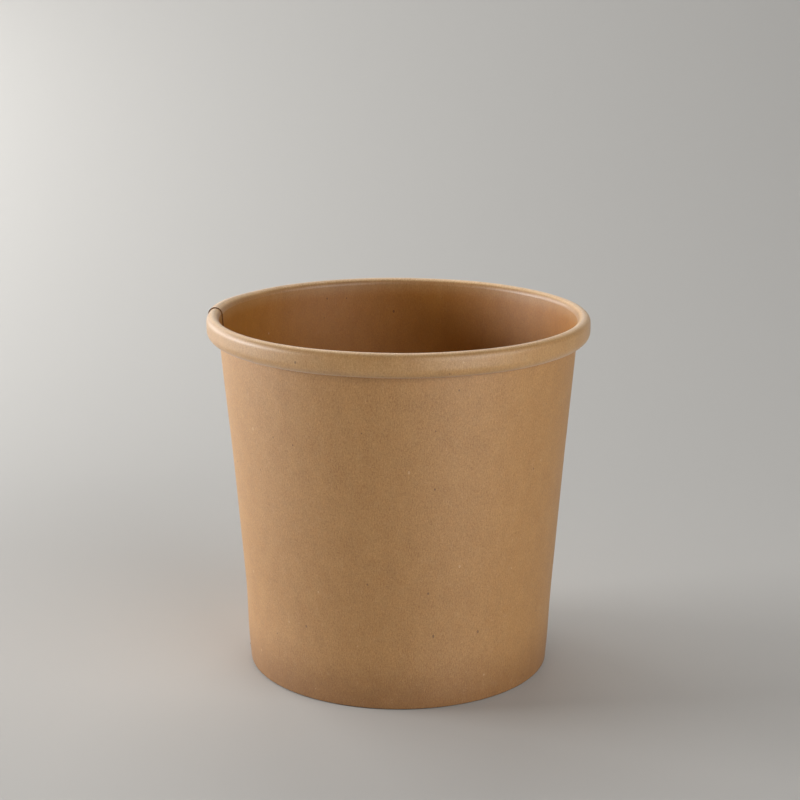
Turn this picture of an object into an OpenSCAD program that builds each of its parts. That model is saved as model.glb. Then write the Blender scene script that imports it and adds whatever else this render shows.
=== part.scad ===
// Round paper soup bowl: one sheet of kraft board wound into a tapered wall with a
// glued lap seam, its upper edge rolled outwards into a rim and its lower edge folded
// in and up over the skirt of a recessed base disc.
// The origin is at the middle of the foot, on the surface that the bowl stands on.

/* [Bowl] */
// Height from the foot to the top of the rim
bowl_h = 111.5; // [90:0.5:140]
// Outer radius of the wall at the foot
foot_r = 46.8; // [42:0.1:49]
// Inner radius of the wall where it turns over into the rim
mouth_r = 54.8; // [52:0.1:58]

/* [Board] */
// Thickness of the sidewall's board
board_t = 0.4; // [0.3:0.02:0.46]
// Thickness of the base disc's board
base_t = 0.36; // [0.3:0.02:0.6]
// Glue line between the base disc's skirt and the board on each side of it
glue_gap = 0.03; // [0.02:0.01:0.06]

/* [Rim] */
// Width of the rolled rim, from the inner face of the wall to the outside of the roll
rim_w = 4.2; // [4:0.1:5]
// Height of the rolled rim
rim_h = 7.4; // [6.4:0.1:9]
// Width of the flattened top of the roll
rim_land = 1; // [0.98:0.02:1.2]
// Radius of the roll's lower outer corner
heel_r = 3; // [2.6:0.1:3]
// Radius at which the board's edge turns up inside the roll
toe_r = 0.6; // [0.5:0.05:0.65]
// Length of the edge that stands up inside the roll
edge_h = 1.2; // [0.5:0.1:1.5]

/* [Seam] */
// Direction of the inner ply's raw edge, round from +X
seam_angle = 176; // [0:1:359]
// Width of the glued lap, measured at the mouth
lap_w = 7; // [4:0.5:12]

/* [Foot] */
// Height of the base disc's underside above the foot
recess_h = 7.5; // [6.6:0.1:12]
// Height of the edge that is folded in and up over the skirt
tuck_h = 6; // [4:0.1:6.2]
// Radius of the folded foot's lower corners
fold_r = 0.2; // [0.1:0.02:0.24]
// Outer radius of the bend between the base disc and its skirt
base_bend_r = 0.8; // [0.7:0.05:1.2]

/* [Colours] */
// Colour of the sidewall
wall_colour = [0.72, 0.55, 0.38];
// Colour of the base disc
base_colour = [0.66, 0.5, 0.34];

/* [Hidden] */
$fn = 144;

// Angle of the lap, seen from the axis
lap_angle = lap_w / mouth_r * 180 / PI;

// Rolled rim: two quarter bends of equal radius with a narrow land between them
rim_r = (rim_w - rim_land) / 2;
rim_z = bowl_h - rim_r;
rim_out = mouth_r + rim_w;
heel_z = bowl_h - rim_h + heel_r;
heel_x = rim_out - heel_r;
toe_z = bowl_h - rim_h + toe_r;
// The land is shared by the part that moves out with the winding and the part that
// stays round, and this is how far each stops short of the other's bend
land_stop = 0.05;
land_l = rim_land - board_t - land_stop;

// Taper of the wall, and its inner face at any height
foot_in = foot_r - board_t;
taper = (mouth_r - foot_in) / (rim_z - board_t);
function wall_in(z) = foot_in + taper * (z - board_t);

// Folded foot: inner face of the tucked edge, inside the wall and the base disc's skirt
tuck_in = foot_in - base_t - 2 * glue_gap - board_t;

// A quarter bend of the board about its centre, in the quadrant that side gives.
// No inner radius gives a solid corner.
module bend(centre, side, r_out, r_in = 0) {
    translate(centre)
        intersection() {
            difference() {
                circle(r_out);
                if (r_in > 0)
                    circle(r_in);
            }
            mirror([side[0] < 0 ? 1 : 0, 0])
                mirror([0, side[1] < 0 ? 1 : 0])
                    square(2 * r_out);
        }
}

// A straight stretch of board that follows the wall's taper between two heights
module strip(x, thickness, low, high) {
    lean = taper * (high - low);
    polygon([[x, low], [x + thickness, low], [x + thickness + lean, high], [x + lean, high]]);
}

// Section of the wall, with the outer half of the folded foot under it
module wall_section() {
    strip(foot_in, board_t, board_t, rim_z);
    translate([tuck_in + fold_r, 0])
        square([foot_r - tuck_in - 2 * fold_r, board_t]);
    translate([foot_r - 2 * fold_r, fold_r])
        square([2 * fold_r, board_t - fold_r]);
    bend([foot_r - fold_r, fold_r], [1, -1], fold_r);
}

// Section of the foot's inner half, with the edge that is tucked up inside the skirt
module tuck_section() {
    translate([tuck_in + fold_r, 0])
        square([foot_in - tuck_in - fold_r, board_t]);
    translate([tuck_in, fold_r])
        square([2 * fold_r, board_t - fold_r]);
    bend([tuck_in + fold_r, fold_r], [-1, -1], fold_r);
    strip(tuck_in, board_t, board_t, tuck_h);
}

// Section of the roll's inner bend, which carries on from the wall. A ply that rolls
// over another one is larger by lift, one thickness of the board.
module roll_inner_section(lift = 0) {
    centre = [mouth_r + rim_r + lift, rim_z];
    bend(centre, [-1, 1], rim_r + lift, rim_r + lift - board_t);
    translate([centre[0], bowl_h + lift - board_t])
        square([land_l - lift, board_t]);
}

// Section of the rest of the roll: land, outer bend, outer face, heel and turned-up edge
module roll_outer_section(lift = 0) {
    land_x = mouth_r + rim_r + board_t + land_stop;
    translate([land_x, bowl_h + lift - board_t])
        square([rim_out - rim_r - land_x, board_t]);
    bend([rim_out - rim_r, rim_z], [1, 1], rim_r + lift, rim_r + lift - board_t);
    translate([rim_out + lift - board_t, heel_z])
        square([board_t, rim_z - heel_z]);
    bend([heel_x, heel_z], [1, -1], heel_r + lift, heel_r + lift - board_t);
    bend([heel_x, toe_z], [-1, -1], toe_r, toe_r - board_t);
    translate([heel_x - toe_r, toe_z])
        square([board_t, edge_h]);
}

// A turn of a section about the bowl's axis, counted from the inner ply's raw edge
module turn(start, angle) {
    rotate_extrude(angle = angle, start = start)
        children();
}

// Half a turn about a second centre, half a thickness to the side of the first, so that
// the board ends the whole turn one thickness further out and can lap over its own start
module climbing_turn() {
    translate([board_t / 2, 0, 0])
        rotate_extrude(angle = 180, start = 180)
            translate([board_t / 2, 0])
                children();
}

// The lap: the inner ply rolls over the outer ply, and both are tucked in at the foot
module lap() {
    turn(0, lap_angle) {
        wall_section();
        roll_inner_section(board_t);
        roll_outer_section(board_t);
        tuck_section();
        translate([-board_t, 0])
            strip(tuck_in, board_t, board_t, tuck_h);
        translate([board_t, 0]) {
            wall_section();
            roll_inner_section();
        }
        roll_outer_section();
    }
}

// One sheet: tapered wall, rolled rim, lap seam and folded foot
module sidewall() {
    color(wall_colour)
        rotate(seam_angle)
            mirror([0, 1, 0]) {
                lap();
                turn(lap_angle, 180 - lap_angle) {
                    wall_section();
                    roll_inner_section();
                    roll_outer_section();
                    tuck_section();
                }
                climbing_turn() {
                    wall_section();
                    roll_inner_section();
                }
                turn(180, 180) {
                    roll_outer_section();
                    tuck_section();
                }
            }
}

// Flat disc with its edge turned down into the folded foot
module base_disc() {
    disc_top = recess_h + base_t;
    bend_z = disc_top - base_bend_r;
    skirt_low = board_t + glue_gap;
    bend_x = wall_in(bend_z) - glue_gap - base_bend_r;
    color(base_colour)
        rotate_extrude() {
            translate([0, recess_h])
                square([bend_x, base_t]);
            bend([bend_x, bend_z], [1, 1], base_bend_r, base_bend_r - base_t);
            strip(wall_in(skirt_low) - glue_gap - base_t, base_t, skirt_low, bend_z);
        }
}

sidewall();
base_disc();
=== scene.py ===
import math

import bmesh
import bpy
from mathutils import Matrix, Vector, noise


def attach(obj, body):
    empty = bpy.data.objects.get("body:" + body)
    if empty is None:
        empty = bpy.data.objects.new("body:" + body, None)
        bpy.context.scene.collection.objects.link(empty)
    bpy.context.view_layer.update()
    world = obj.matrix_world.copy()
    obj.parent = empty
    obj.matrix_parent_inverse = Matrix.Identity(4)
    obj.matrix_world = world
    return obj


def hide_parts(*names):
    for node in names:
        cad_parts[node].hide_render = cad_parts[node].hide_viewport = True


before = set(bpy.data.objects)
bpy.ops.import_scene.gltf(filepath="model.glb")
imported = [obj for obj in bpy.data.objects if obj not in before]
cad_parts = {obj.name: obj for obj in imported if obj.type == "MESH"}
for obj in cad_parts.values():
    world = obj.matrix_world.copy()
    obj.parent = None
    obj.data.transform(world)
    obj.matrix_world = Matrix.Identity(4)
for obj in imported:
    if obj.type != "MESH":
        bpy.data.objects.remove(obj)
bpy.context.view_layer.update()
mm = 0.001
print("frame loaded:", sorted(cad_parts))


# Camera: fitted to the edges of the rim, the wall and the foot in the photograph
camera = {
    "distance": 542.1 * mm,      # in front of the bowl's axis
    "height": 221.6 * mm,
    "pitchDown": 14.307,         # degrees
    "turnRight": 0.056,
    "roll": 0.19,
    "lens": 80.65,               # on a sensor 36 wide
}


def makeCamera():
    data = bpy.data.cameras.new("camera")
    data.lens = camera["lens"]
    data.sensor_width = 36.0
    data.clip_start = 0.01
    data.clip_end = 50.0
    obj = bpy.data.objects.new("camera", data)
    bpy.context.scene.collection.objects.link(obj)
    obj.location = (0.0, -camera["distance"], camera["height"])
    turned = Matrix.Rotation(math.radians(-camera["turnRight"]), 4, "Z")
    pitched = Matrix.Rotation(math.radians(90.0 - camera["pitchDown"]), 4, "X")
    rolled = Matrix.Rotation(math.radians(camera["roll"]), 4, "Z")
    obj.rotation_euler = (turned @ pitched @ rolled).to_euler()
    bpy.context.scene.camera = obj


makeCamera()
print("camera placed")


# Small helpers for shader nodes
def addNode(tree, kind, **settings):
    node = tree.nodes.new(kind)
    for name, value in settings.items():
        setattr(node, name, value)
    return node


def mathNode(tree, operation, a, b=None, clamp=False):
    node = addNode(tree, "ShaderNodeMath", operation=operation, use_clamp=clamp)
    for i, value in enumerate((a, b)):
        if value is None:
            continue
        if isinstance(value, (int, float)):
            node.inputs[i].default_value = value
        else:
            tree.links.new(value, node.inputs[i])
    return node.outputs[0]


def rangeNode(tree, value, low, high, toLow=0.0, toHigh=1.0, smooth=False):
    node = addNode(tree, "ShaderNodeMapRange")
    if smooth:
        node.interpolation_type = "SMOOTHSTEP"
    node.inputs["From Min"].default_value = low
    node.inputs["From Max"].default_value = high
    node.inputs["To Min"].default_value = toLow
    node.inputs["To Max"].default_value = toHigh
    tree.links.new(value, node.inputs["Value"])
    return node.outputs["Result"]


def mixColour(tree, factor, a, b, blend="MIX"):
    node = addNode(tree, "ShaderNodeMix", data_type="RGBA", blend_type=blend)
    for socket, value in ((node.inputs[0], factor), (node.inputs[6], a), (node.inputs[7], b)):
        if isinstance(value, (int, float)):
            socket.default_value = value
        elif isinstance(value, (tuple, list)):
            socket.default_value = tuple(value) + (1.0,) if len(value) == 3 else value
        else:
            tree.links.new(value, socket)
    return node.outputs[2]


def scaledCoords(tree, vector, scale, offset=(0.0, 0.0, 0.0), turn=0.0):
    node = addNode(tree, "ShaderNodeMapping")
    node.inputs["Scale"].default_value = scale
    node.inputs["Location"].default_value = offset
    node.inputs["Rotation"].default_value = (0.0, 0.0, turn)
    tree.links.new(vector, node.inputs["Vector"])
    return node.outputs["Vector"]


def noiseNode(tree, vector, scale, detail=2.0, roughness=0.5, distortion=0.0):
    node = addNode(tree, "ShaderNodeTexNoise", noise_dimensions="3D")
    node.inputs["Scale"].default_value = scale
    node.inputs["Detail"].default_value = detail
    node.inputs["Roughness"].default_value = roughness
    node.inputs["Distortion"].default_value = distortion
    tree.links.new(vector, node.inputs["Vector"])
    return node.outputs[0]


def patternNode(tree, sheet, scale, offset, detail, roughness, distortion, spread):
    # noise that has been stretched to run from -1 to 1
    coords = scaledCoords(tree, sheet, scale, offset)
    pattern = noiseNode(tree, coords, 1.0, detail, roughness, distortion)
    return rangeNode(tree, pattern, 0.5 - spread, 0.5 + spread, -1.0, 1.0)


def srgb(r, g, b):
    # a colour given as it looks, 0 to 255, as the linear values that sockets take
    out = []
    for c in (r, g, b):
        c /= 255.0
        out.append(c / 12.92 if c <= 0.04045 else ((c + 0.055) / 1.055) ** 2.4)
    return tuple(out)


# Kraft board: streaks and mottling of its fibres, clouds of pulp, dark specks, pale flecks.
# Lengths in the group are millimetres on the sheet: x up the wall, y round the bowl.
# A pattern is its scale, offset, detail, roughness, distortion and spread.
kraft = {
    "streaks": ((0.9, 2.6, 1.0), (0.0, 0.0, 0.0), 2.0, 0.5, 0.3, 0.16),
    "mottle": ((1.7, 2.1, 1.0), (7.0, 3.0, 2.0), 2.0, 0.6, 0.4, 0.16),
    "fine": ((3.0, 3.8, 1.0), (1.0, 9.0, 5.0), 2.0, 0.55, 0.0, 0.16),
    "clouds": ((0.13, 0.2, 1.0), (4.0, 1.0, 8.0), 4.0, 0.55, 0.3, 0.18),
    "warmth": ((0.3, 0.34, 1.0), (2.0, 8.0, 3.0), 3.0, 0.6, 0.0, 0.18),
    "shares": (0.3, 0.35, 0.35),         # of streaks, mottle and fine in the fibres
    "fibreShade": 0.3,
    "cloudShade": 0.05,
    "tint": 0.02,
    "paling": (1.0, 1.4, 2.1),           # how strongly shade moves red, green and blue
    "tinting": (1.0, 0.0, -1.5),         # how the tint moves them
    "speckSize": (0.035, 0.075),         # smallest, and how much more the largest is
    "darkShare": 0.2,                    # cells that hold a dark speck
    "paleShare": 0.1,
    "hairWidth": 0.03,
    "hair": (srgb(225, 190, 148), 0.2),  # colour, and how much of it is laid on
    "paleSpeck": (srgb(228, 196, 156), 0.3),
    "darkSpeck": (srgb(74, 42, 20), 0.6),
}


def makeBoardGroup():
    k = kraft
    group = bpy.data.node_groups.new("kraftBoard", "ShaderNodeTree")
    for name, kind, value in (
        ("Sheet", "NodeSocketVector", None),
        ("Colour", "NodeSocketColor", (0.5, 0.3, 0.15, 1.0)),
        ("Fibres", "NodeSocketFloat", 1.0),
        ("Clouds", "NodeSocketFloat", 1.0),
        ("Specks", "NodeSocketFloat", 1.0),
    ):
        socket = group.interface.new_socket(name, in_out="INPUT", socket_type=kind)
        if value is not None:
            socket.default_value = value
    for name, kind in (
        ("Colour", "NodeSocketColor"),
        ("Roughness", "NodeSocketFloat"),
        ("Height", "NodeSocketFloat"),
    ):
        group.interface.new_socket(name, in_out="OUTPUT", socket_type=kind)
    links = group.links
    entry = addNode(group, "NodeGroupInput")
    leave = addNode(group, "NodeGroupOutput")
    sheet = entry.outputs["Sheet"]

    # Streaks run up the wall, mottling is even, and both are under a millimetre wide
    streaks = patternNode(group, sheet, *k["streaks"])
    mottle = patternNode(group, sheet, *k["mottle"])
    fine = patternNode(group, sheet, *k["fine"])

    # Clouds of thicker and thinner pulp, and patches a little redder or greener
    clouds = patternNode(group, sheet, *k["clouds"])
    warmth = patternNode(group, sheet, *k["warmth"])

    # Each cell of a Voronoi pattern may hold one speck, a little longer than wide
    cells = addNode(group, "ShaderNodeTexVoronoi", voronoi_dimensions="3D", feature="F1")
    cells.inputs["Scale"].default_value = 1.0
    cells.inputs["Randomness"].default_value = 1.0
    speckCoords = scaledCoords(group, sheet, (0.2, 0.3, 0.0), (3.0, 5.0, 0.5), 0.5)
    links.new(speckCoords, cells.inputs["Vector"])
    chosen = addNode(group, "ShaderNodeSeparateColor")
    links.new(cells.outputs["Color"], chosen.inputs[0])
    smallest, more = k["speckSize"]
    size = mathNode(group, "MULTIPLY_ADD", chosen.outputs[1], more)
    size.node.inputs[2].default_value = smallest
    inSpeck = mathNode(group, "LESS_THAN", cells.outputs["Distance"], size)
    isDark = mathNode(group, "LESS_THAN", chosen.outputs[0], k["darkShare"])
    isPale = mathNode(group, "GREATER_THAN", chosen.outputs[0], 1.0 - k["paleShare"])
    darkSpecks = mathNode(group, "MULTIPLY", isDark, inSpeck)
    paleSpecks = mathNode(group, "MULTIPLY", isPale, inSpeck)

    # Pale hairs: thin crests of a stretched noise
    hairCoords = scaledCoords(group, sheet, (0.5, 2.4, 1.0), (9.0, 4.0, 1.0), 0.35)
    hairs = noiseNode(group, hairCoords, 1.0, 1.0, 0.5, 1.2)
    hairs = mathNode(group, "ABSOLUTE", mathNode(group, "SUBTRACT", hairs, 0.5))
    hairs = rangeNode(group, hairs, 0.0, k["hairWidth"], 1.0, 0.0)
    patches = noiseNode(group, scaledCoords(group, sheet, (0.4, 0.4, 1.0), (6.0, 6.0, 6.0)), 1.0, 2.0)
    hairs = mathNode(group, "MULTIPLY", hairs, rangeNode(group, patches, 0.5, 0.62))

    # Bright fibres are also paler. Specks and hairs are laid over fibres and clouds.
    def scaled(value, name, amount):
        return mathNode(group, "MULTIPLY", value, mathNode(group, "MULTIPLY", entry.outputs[name], amount))

    fibres = mathNode(group, "MULTIPLY", streaks, k["shares"][0])
    for part, share in zip((mottle, fine), k["shares"][1:]):
        fibres = mathNode(group, "ADD", fibres, mathNode(group, "MULTIPLY", part, share))
    shade = scaled(fibres, "Fibres", k["fibreShade"])
    shade = mathNode(group, "ADD", shade, scaled(clouds, "Clouds", k["cloudShade"]))
    tint = scaled(warmth, "Clouds", k["tint"])
    tone = addNode(group, "ShaderNodeCombineColor")
    for i, (paling, tinting) in enumerate(zip(k["paling"], k["tinting"])):
        part = mathNode(group, "MULTIPLY_ADD", shade, paling)
        part.node.inputs[2].default_value = 1.0
        part = mathNode(group, "ADD", part, mathNode(group, "MULTIPLY", tint, tinting))
        links.new(part, tone.inputs[i])
    colour = mixColour(group, 1.0, entry.outputs["Colour"], tone.outputs[0], "MULTIPLY")
    hairColour, hairCover = k["hair"]
    hairCover = mathNode(group, "MULTIPLY", entry.outputs["Fibres"], hairCover)
    colour = mixColour(group, mathNode(group, "MULTIPLY", hairs, hairCover, True), colour, hairColour)
    for specks, (speckColour, cover) in ((paleSpecks, k["paleSpeck"]), (darkSpecks, k["darkSpeck"])):
        mask = mathNode(group, "MULTIPLY", specks, entry.outputs["Specks"], True)
        colour = mixColour(group, mathNode(group, "MULTIPLY", mask, cover), colour, speckColour)
    links.new(colour, leave.inputs["Colour"])

    links.new(rangeNode(group, fibres, -1.0, 1.0), leave.inputs["Roughness"])
    fibreHeight = mathNode(group, "MULTIPLY", fibres, 0.5)
    cloudHeight = mathNode(group, "MULTIPLY", clouds, 0.35)
    links.new(mathNode(group, "ADD", fibreHeight, cloudHeight), leave.inputs["Height"])
    return group


def makeBoardMaterial(name, group, settings):
    material = bpy.data.materials.new(name)
    material.use_nodes = True
    tree = material.node_tree
    tree.nodes.clear()
    out = addNode(tree, "ShaderNodeOutputMaterial")
    shader = addNode(tree, "ShaderNodeBsdfPrincipled")
    uv = addNode(tree, "ShaderNodeUVMap", uv_map="sheet")
    board = addNode(tree, "ShaderNodeGroup")
    board.node_tree = group
    board.inputs["Colour"].default_value = settings["colour"] + (1.0,)
    colour = settings["colour"]
    along = addNode(tree, "ShaderNodeSeparateXYZ")
    tree.links.new(uv.outputs[0], along.inputs[0])
    # the tones lay painted shade and shadow on the board, and give the faces beside the rim's painted
    # crest highlight their own colour
    for tone, fromLength, toLength in settings["tones"]:
        share = rangeNode(tree, along.outputs[0], fromLength * mm, toLength * mm, smooth=True)
        colour = mixColour(tree, share, colour, tone)
        tree.links.new(colour, board.inputs["Colour"])
    for name, key in (("Fibres", "fibres"), ("Clouds", "clouds"), ("Specks", "specks")):
        board.inputs[name].default_value = settings[key]
    tree.links.new(scaledCoords(tree, uv.outputs[0], (1000.0, 1000.0, 1.0)), board.inputs["Sheet"])
    tree.links.new(board.outputs["Colour"], shader.inputs["Base Color"])
    rough = rangeNode(tree, board.outputs["Roughness"], 0.0, 1.0, *settings["roughness"])
    tree.links.new(rough, shader.inputs["Roughness"])
    bump = addNode(tree, "ShaderNodeBump")
    bump.inputs["Strength"].default_value = settings["bump"]
    bump.inputs["Distance"].default_value = 0.05 * mm
    tree.links.new(board.outputs["Height"], bump.inputs["Height"])
    tree.links.new(bump.outputs[0], shader.inputs["Normal"])
    shader.inputs["Specular IOR Level"].default_value = settings["specular"]
    shader.inputs["Sheen Weight"].default_value = settings["sheen"]
    shader.inputs["Sheen Roughness"].default_value = 0.45
    tree.links.new(shader.outputs[0], out.inputs[0])
    return material


# Looks of the board. Each of the tones takes over from one length along the section to
# another, in millimetres: painted shade that darkens the foot and a painted shadow along
# the crease of its fold, the inside's paler upper edge over painted shade deeper in, and the
# roll's outer and inner face beside its crest, whose pale colour is a painted highlight.
outsideLook = {
    "colour": srgb(171, 124, 68),
    # painted shade: the first tone darkens the wall over its lowest 20 mm towards the foot
    # painted shadow: the second, nearly black tone lies along the fold where the foot meets the table
    "tones": [(srgb(144, 98, 46), 26.0, 6.0), (srgb(60, 40, 22), 6.8, 6.4)],
    "fibres": 1.0,
    "clouds": 1.0,
    "specks": 1.0,
    "bump": 0.5,
    "roughness": (0.48, 0.62),
    "specular": 1.0,
    "sheen": 0.05,
}
insideLook = {
    "colour": srgb(174, 114, 42),
    # painted shade: below this paler band at its upper edge the inside takes the deeper colour above
    "tones": [(srgb(176, 128, 72), 112.0, 117.0)],
    "fibres": 0.5,
    "clouds": 1.0,
    "specks": 1.0,
    "bump": 0.4,
    "roughness": (0.48, 0.6),
    "specular": 0.65,
    "sheen": 0.0,
}
rimLookWithPaintedHighlight = {
    # painted highlight: this pale colour on the roll's crest stands in for light on it; the tones give the
    # faces beside it the board's own colour
    "colour": srgb(240, 196, 142),
    "tones": [(srgb(178, 134, 80), 119.2, 120.4), (srgb(176, 128, 72), 118.0, 117.0)],
    "fibres": 0.8,
    "clouds": 1.0,
    "specks": 1.0,
    "bump": 0.5,
    "roughness": (0.42, 0.54),
    "specular": 0.9,
    "sheen": 0.3,
}
cutEdgeLook = {
    "colour": srgb(120, 82, 48),
    "tones": [],
    "fibres": 1.5,
    "clouds": 1.0,
    "specks": 0.0,
    "bump": 0.8,
    "roughness": (0.6, 0.8),
    "specular": 0.3,
    "sheen": 0.0,
}
baseLook = {
    "colour": srgb(170, 116, 56),
    "tones": [],
    "fibres": 0.6,
    "clouds": 1.0,
    "specks": 1.0,
    "bump": 0.4,
    "roughness": (0.4, 0.52),
    "specular": 0.4,
    "sheen": 0.0,
}
boardGroup = makeBoardGroup()
outsideBoard = makeBoardMaterial("kraftOutside", boardGroup, outsideLook)
insideBoard = makeBoardMaterial("kraftInside", boardGroup, insideLook)
rimBoardWithPaintedHighlight = makeBoardMaterial("kraftRimWithPaintedHighlight", boardGroup, rimLookWithPaintedHighlight)
cutEdge = makeBoardMaterial("cutEdge", boardGroup, cutEdgeLook)
baseBoard = makeBoardMaterial("baseBoard", boardGroup, baseLook)
print("board materials made")


# Paths in the bowl's section, in millimetres from the axis and from the table
def straight(start, end, count):
    return [
        (start[0] + (end[0] - start[0]) * i / count, start[1] + (end[1] - start[1]) * i / count)
        for i in range(1, count + 1)
    ]


def bend(centre, radius, fromAngle, toAngle, count):
    points = []
    for i in range(1, count + 1):
        a = math.radians(fromAngle + (toAngle - fromAngle) * i / count)
        points.append((centre[0] + radius * math.cos(a), centre[1] + radius * math.sin(a)))
    return points


def ease(x):
    x = min(max(x, 0.0), 1.0)
    return x * x * (3.0 - 2.0 * x)


# Side wall: a flat sheet that is wound round once and laps over its own start.
# Its edges are rolled into the rim and folded in at the foot.
sideWall = {
    "height": 111.48,
    "board": 0.4,
    "footIn": 46.4,          # inner face of the wall at the foot
    "mouthIn": 54.8,         # inner face of the wall at the rim
    "rimOut": 58.98,
    "rimHeight": 7.4,
    "heelRadius": 3.0,
    "toeRadius": 0.6,
    "innerEdge": 1.2,        # length of the edge that stands up inside the roll
    "tuckIn": 45.58,         # inner face of the edge that is tucked up at the foot
    "tuckHeight": 6.0,
    "foldRadius": 0.45,
    "footGap": 0.01,         # air under the fold
    "pressed": 0.98,         # of a ply's thickness that it adds under the fold
    "footLean": 0.36,        # the foot sits this far to the right of the rim's middle
    "leanTop": 100.0,        # height above which it doesn't lean
    "footFlare": 0.2,
    "flareTop": 20.0,
    "flareRun": 14.0,        # height over which the flare comes in
    "waist": 0.4,            # how far the wall is drawn in between foot and rim
    "waistLow": 8.0,         # height at which the waist begins
    "waistLowRun": 20.0,     # and over which it comes in
    "waistHigh": 6.0,        # the same, down from the rim
    "waistHighRun": 45.0,
    "waistLean": 0.5,        # how much more of that is on the seam's side
    "rimTilt": 0.175,        # the rim is this much higher behind and lower in front
    "rimDrop": 0.025,
    "rimLow": 90.0,          # height at which tilt, drop and the rim's own wobble begin
    "rimRun": 20.0,
    "seamAngle": 176.0,      # where the inner ply's raw edge lies, from +X
    "lap": 7.3,              # degrees
    "settle": 12.0,          # degrees over which a ply steps on or off another
    "rollSettle": 25.0,      # the same for the roll, which is stiffer
    "stepsRound": 368,
    "rollPoints": 37,        # points of the section from the top of the wall to its end
    "notchPoints": 7,        # points of the section that the inner ply's corner loses
    "rimWobble": 0.10,
    "wallWobble": 0.12,
}


def wallSection(climb, lift, under):
    # climb: plies the wall has moved out by; lift: plies under the roll and the fold;
    # under: plies the tucked edge lies inside of
    s = sideWall
    t = s["board"]
    half = t / 2
    lean = (s["mouthIn"] - s["footIn"]) / s["height"]
    tilt = math.degrees(math.atan(lean))
    fold = s["foldRadius"]
    floor = half + s["footGap"] + lift * t * s["pressed"]
    tuckX = s["tuckIn"] + half - under * t
    wallX = s["footIn"] + half + climb * t
    foldTop = floor + fold
    points = [(tuckX + lean * (s["tuckHeight"] - t), s["tuckHeight"])]
    points += straight(points[-1], (tuckX, foldTop), 5)
    points += bend((tuckX + fold, foldTop), fold, 180, 270, 4)
    points += straight(points[-1], (wallX - fold, floor), 1)
    points += bend((wallX - fold, foldTop), fold, 270, 360, 4)
    rollR = (s["rimOut"] + lift * t - s["mouthIn"] - climb * t) / 2
    rollX = s["mouthIn"] + climb * t + rollR
    rollZ = s["height"] + lift * t - rollR
    rollMid = rollR - half
    start = math.radians(180 - tilt)
    wallTop = (rollX + rollMid * math.cos(start), rollZ + rollMid * math.sin(start))
    points += straight(points[-1], wallTop, 30)
    points += bend((rollX, rollZ), rollMid, 180 - tilt, 0, 16)
    heelZ = s["height"] - s["rimHeight"] + s["heelRadius"]
    heelX = s["rimOut"] - s["heelRadius"]
    heelMid = s["heelRadius"] + lift * t - half
    points += straight(points[-1], (heelX + heelMid, heelZ), 3)
    points += bend((heelX, heelZ), heelMid, 0, -90, 10)
    toeMid = s["toeRadius"] - half
    toeZ = heelZ - heelMid + toeMid
    points += bend((heelX, toeZ), toeMid, 270, 180, 4)
    points += straight(points[-1], (points[-1][0], toeZ + s["innerEdge"]), 3)
    return points


def lengthsAlong(points):
    lengths = [0.0]
    for a, b in zip(points, points[1:]):
        lengths.append(lengths[-1] + math.dist(a, b))
    return lengths


def woundSheet():
    s = sideWall
    lengths = lengthsAlong(wallSection(0.5, 0.0, 0.0))
    columns = len(lengths) - 1
    rows = s["stepsRound"]
    turn = 360.0 + s["lap"]
    meanRadius = (s["footIn"] + s["mouthIn"]) / 2

    # the flat sheet: x along its section, y round the bowl
    bm = bmesh.new()
    bmesh.ops.create_grid(bm, x_segments=columns, y_segments=rows, size=0.5)
    uvLayer = bm.loops.layers.uv.new("sheet")
    place = {}
    for v in bm.verts:
        place[v.index] = (round((v.co.x + 0.5) * columns), round((v.co.y + 0.5) * rows))
    bm.verts.index_update()
    for face in bm.faces:
        for loop in face.loops:
            column, row = place[loop.vert.index]
            around = math.radians(turn * row / rows) * meanRadius
            loop[uvLayer].uv = (lengths[column] * mm, around * mm)

    sections = []
    for row in range(rows + 1):
        angle = turn * row / rows
        lift = 1.0 - ease((angle - s["lap"]) / s["rollSettle"])
        under = ease((angle - 360.0 + s["settle"]) / s["settle"])
        sections.append(wallSection(angle / 360.0, lift, under))
    # the wound wall is a little uneven, as real board is
    for v in bm.verts:
        column, row = place[v.index]
        radius, z = sections[row][column]
        a = math.radians(s["seamAngle"] - turn * row / rows)
        up = z / s["height"]
        middle = ease((z - s["waistLow"]) / s["waistLowRun"])
        middle *= ease((s["height"] - s["waistHigh"] - z) / s["waistHighRun"])
        radius -= s["waist"] * middle * (1.0 - s["waistLean"] * math.cos(a))
        radius += s["footFlare"] * ease((s["flareTop"] - z) / s["flareRun"])
        spot = Vector((1.6 * math.cos(a), 1.6 * math.sin(a), 1.4 * up))
        radius += s["wallWobble"] * middle * noise.noise(spot + Vector((4.0, 2.0, 9.0)))
        atRim = ease((z - s["rimLow"]) / s["rimRun"])
        rimSpot = Vector((2.3 * math.cos(a), 2.3 * math.sin(a), 3.0))
        radius += s["rimWobble"] * atRim * noise.noise(rimSpot)
        z += s["rimWobble"] * atRim * noise.noise(rimSpot + Vector((0.0, 0.0, 5.0)))
        z += (s["rimTilt"] * math.sin(a) - s["rimDrop"]) * atRim
        across = radius * math.cos(a) + s["footLean"] * min(max(1.0 - z / s["leanTop"], 0.0), 1.0)
        v.co = Vector((across, radius * math.sin(a), z)) * mm

    # The inner ply's corner is notched inside the roll, where two plies would crowd it
    lapRows = int(s["lap"] / turn * rows) + 1
    crowded = []
    for face in bm.faces:
        cells = [place[v.index] for v in face.verts]
        if max(c[1] for c in cells) <= lapRows and min(c[0] for c in cells) >= columns - s["notchPoints"]:
            crowded.append(face)
    bmesh.ops.delete(bm, geom=crowded, context="FACES")
    bmesh.ops.recalc_face_normals(bm, faces=bm.faces)
    # the sheet's normals point out of the bowl, so that its second face is the inside
    onWall = min(bm.faces, key=lambda face: abs(face.calc_center_median().z - 50.0 * mm))
    outwards = onWall.calc_center_median()
    if onWall.normal.x * outwards.x + onWall.normal.y * outwards.y < 0.0:
        bmesh.ops.reverse_faces(bm, faces=bm.faces)
    return bm


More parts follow.
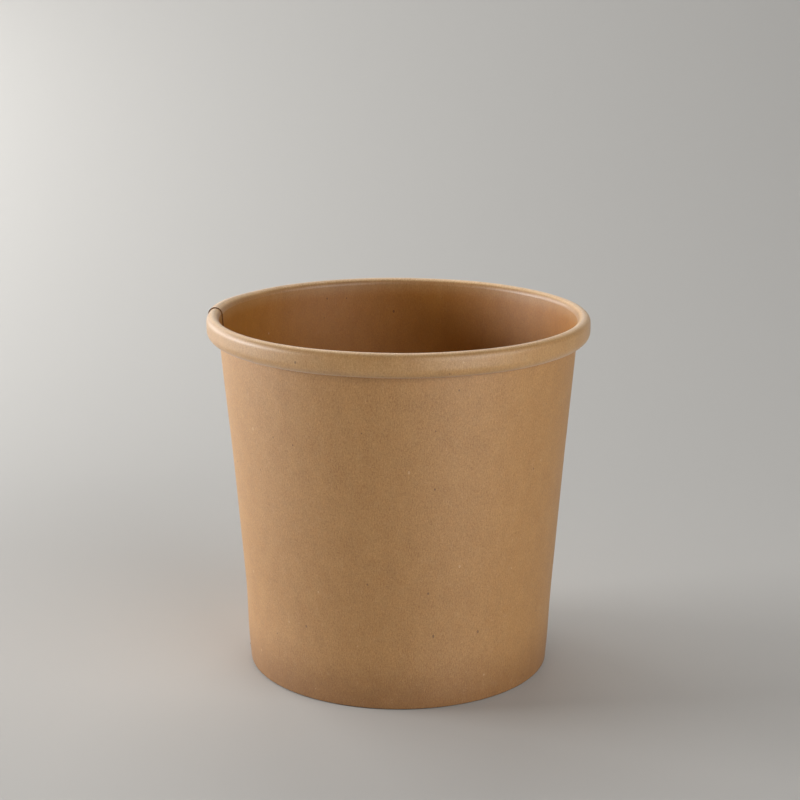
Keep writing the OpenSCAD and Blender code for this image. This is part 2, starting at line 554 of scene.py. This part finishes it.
def finishedSheet(name, bm, thickness, materials, sharpAngle=38.0):
    mesh = bpy.data.meshes.new(name)
    bm.to_mesh(mesh)
    bm.free()
    obj = bpy.data.objects.new(name, mesh)
    bpy.context.scene.collection.objects.link(obj)
    for material in materials:
        mesh.materials.append(material)
    for polygon in mesh.polygons:
        polygon.use_smooth = True
    solid = obj.modifiers.new("thickness", "SOLIDIFY")
    solid.thickness = thickness
    solid.offset = 0.0
    solid.use_even_offset = True
    solid.use_rim = True
    solid.material_offset = len(materials) - 2
    solid.material_offset_rim = len(materials) - 1
    made = bpy.data.meshes.new_from_object(obj.evaluated_get(bpy.context.evaluated_depsgraph_get()))
    obj.modifiers.clear()
    obj.data = made
    made.name = name
    made.set_sharp_from_angle(angle=math.radians(sharpAngle))
    return obj


wallMaterials = [outsideBoard, insideBoard, cutEdge]
wall = finishedSheet("side_wall_sheet", woundSheet(), sideWall["board"] * mm, wallMaterials)

# The face that was inside becomes the outer face of the roll
# the roll's faces take the rim material, whose pale crest is a painted highlight
wall.data.materials.append(rimBoardWithPaintedHighlight)
rollLength = lengthsAlong(wallSection(0.5, 0.0, 0.0))[-sideWall["rollPoints"]]
sheetMap = wall.data.uv_layers["sheet"].data
for polygon in wall.data.polygons:
    onRoll = all(sheetMap[i].uv[0] > (rollLength - 0.01) * mm for i in polygon.loop_indices)
    if polygon.material_index == 1 and onRoll:
        polygon.material_index = 3
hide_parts("sidewall")
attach(wall, "root")
print("side wall wound:", len(wall.data.polygons), "faces")


# Base: a disc whose edge is turned down into the folded foot
base = {
    "under": 7.5,            # height of its underside
    "board": 0.36,
    "skirtGap": 0.03,
    "bendRadius": 0.8,
    "skirtLow": 0.9,
    "dish": 0.25,            # how far its middle sags
    "lean": 0.93,            # share of the foot's lean that the disc has at its height
    "stepsRound": 240,
    "rings": 28,
}


def baseDisc():
    b = base
    s = sideWall
    half = b["board"] / 2
    lean = (s["mouthIn"] - s["footIn"]) / s["height"]
    middleZ = b["under"] + half
    bendZ = b["under"] + b["board"] - b["bendRadius"]
    skirtX = s["footIn"] - b["skirtGap"] - half
    bendX = skirtX + lean * bendZ - b["bendRadius"] + half
    points = [(0.0, middleZ)]
    points += straight(points[0], (bendX, middleZ), b["rings"])
    points += bend((bendX, bendZ), b["bendRadius"] - half, 90, 0, 6)
    points += straight(points[-1], (skirtX + lean * b["skirtLow"], b["skirtLow"]), 5)
    bm = bmesh.new()
    verts = []
    for x, z in points:
        dip = b["dish"] * (1.0 - ease(x / bendX)) if z == middleZ else 0.0
        verts.append(bm.verts.new((x * mm, 0.0, (z - dip) * mm)))
    edges = [bm.edges.new(pair) for pair in zip(verts, verts[1:])]
    bmesh.ops.spin(
        bm,
        geom=verts + edges,
        cent=(0, 0, 0),
        axis=(0, 0, 1),
        angle=math.tau,
        steps=b["stepsRound"],
        use_merge=True,
    )
    bmesh.ops.remove_doubles(bm, verts=bm.verts, dist=0.002 * mm)
    bmesh.ops.translate(bm, verts=bm.verts, vec=(s["footLean"] * b["lean"] * mm, 0.0, 0.0))
    bmesh.ops.recalc_face_normals(bm, faces=bm.faces)
    uvLayer = bm.loops.layers.uv.new("sheet")
    for face in bm.faces:
        for loop in face.loops:
            loop[uvLayer].uv = (loop.vert.co.x + 0.3, loop.vert.co.y + 0.3)
    return bm


disc = finishedSheet("base_disc_board", baseDisc(), base["board"] * mm, [baseBoard, cutEdge])
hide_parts("base_disc")
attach(disc, "root")
print("base disc made:", len(disc.data.polygons), "faces")


# Studio: one sheet of pale paper that sweeps up behind the bowl
studio = {
    "paper": srgb(204, 202, 198),
    "roughness": 0.85,
    "specular": 0.2,
    "width": 6.0,
    "front": -1.6,
    "back": 1.1,
    "sweep": 0.9,
    "top": 3.0,
    "air": (1.0, 0.99, 0.97, 1.0),
    "airStrength": 0.005,
}


def makeBackdrop():
    s = studio
    bm = bmesh.new()
    path = [(s["front"], 0.0)]
    path += straight(path[0], (s["back"] - s["sweep"], 0.0), 2)
    path += bend((s["back"] - s["sweep"], s["sweep"]), s["sweep"], -90, 0, 24)
    path += straight(path[-1], (s["back"], s["top"]), 2)
    verts = [bm.verts.new((-s["width"] / 2, y, z)) for y, z in path]
    edges = [bm.edges.new(pair) for pair in zip(verts, verts[1:])]
    made = bmesh.ops.extrude_edge_only(bm, edges=edges)
    moved = [g for g in made["geom"] if isinstance(g, bmesh.types.BMVert)]
    bmesh.ops.translate(bm, verts=moved, vec=(s["width"], 0, 0))
    bmesh.ops.recalc_face_normals(bm, faces=bm.faces)
    mesh = bpy.data.meshes.new("backdrop")
    bm.to_mesh(mesh)
    bm.free()
    for polygon in mesh.polygons:
        polygon.use_smooth = True
    obj = bpy.data.objects.new("backdrop", mesh)
    bpy.context.scene.collection.objects.link(obj)
    material = bpy.data.materials.new("backdropPaper")
    material.use_nodes = True
    shader = material.node_tree.nodes["Principled BSDF"]
    shader.inputs["Base Color"].default_value = s["paper"] + (1.0,)
    shader.inputs["Roughness"].default_value = s["roughness"]
    shader.inputs["Specular IOR Level"].default_value = s["specular"]
    mesh.materials.append(material)


# Soft strip lamps round the bowl: degrees round from the camera's side to the right,
# height of the lamp, distance from the bowl's axis, width, height of its face and power
lamps = {
    "left": (-95, 0.3, 1.1, 0.6, 0.4, 11.5),
    "leftFront": (-65, 0.2, 1.1, 0.5, 0.3, 0.7),
    "backLeft": (-130, 0.3, 0.8, 0.5, 0.4, 2.9),
    "backLeftHigh": (-150, 0.8, 0.7, 0.5, 0.5, 0.4),
    "backHigh": (180, 1.0, 0.6, 0.5, 0.5, 1.9),
    "right": (60, 0.4, 1.0, 0.5, 0.4, 3.0),
    "rightHigh": (30, 0.6, 0.95, 0.5, 0.4, 2.0),
    "rightLow": (38, 0.1, 1.0, 0.5, 0.16, 2.6),
    "top": (0, 1.25, 0.2, 0.8, 0.8, 0.5),
}
lampTarget = Vector((0.0, 0.0, 0.07))


def makeLamps():
    for name, (azimuth, up, distance, width, faceHeight, power) in lamps.items():
        data = bpy.data.lights.new(name, "AREA")
        data.shape = "RECTANGLE"
        data.size = width
        data.size_y = faceHeight
        data.energy = power
        obj = bpy.data.objects.new(name, data)
        bpy.context.scene.collection.objects.link(obj)
        a = math.radians(azimuth)
        obj.location = (distance * math.sin(a), -distance * math.cos(a), up)
        obj.rotation_euler = (lampTarget - obj.location).to_track_quat("-Z", "Y").to_euler()
    world = bpy.data.worlds.new("studioAir")
    world.use_nodes = True
    background = world.node_tree.nodes["Background"]
    background.inputs[0].default_value = studio["air"]
    background.inputs[1].default_value = studio["airStrength"]
    bpy.context.scene.world = world


makeBackdrop()
makeLamps()
bpy.context.scene.view_settings.view_transform = "Standard"
print("studio lit")
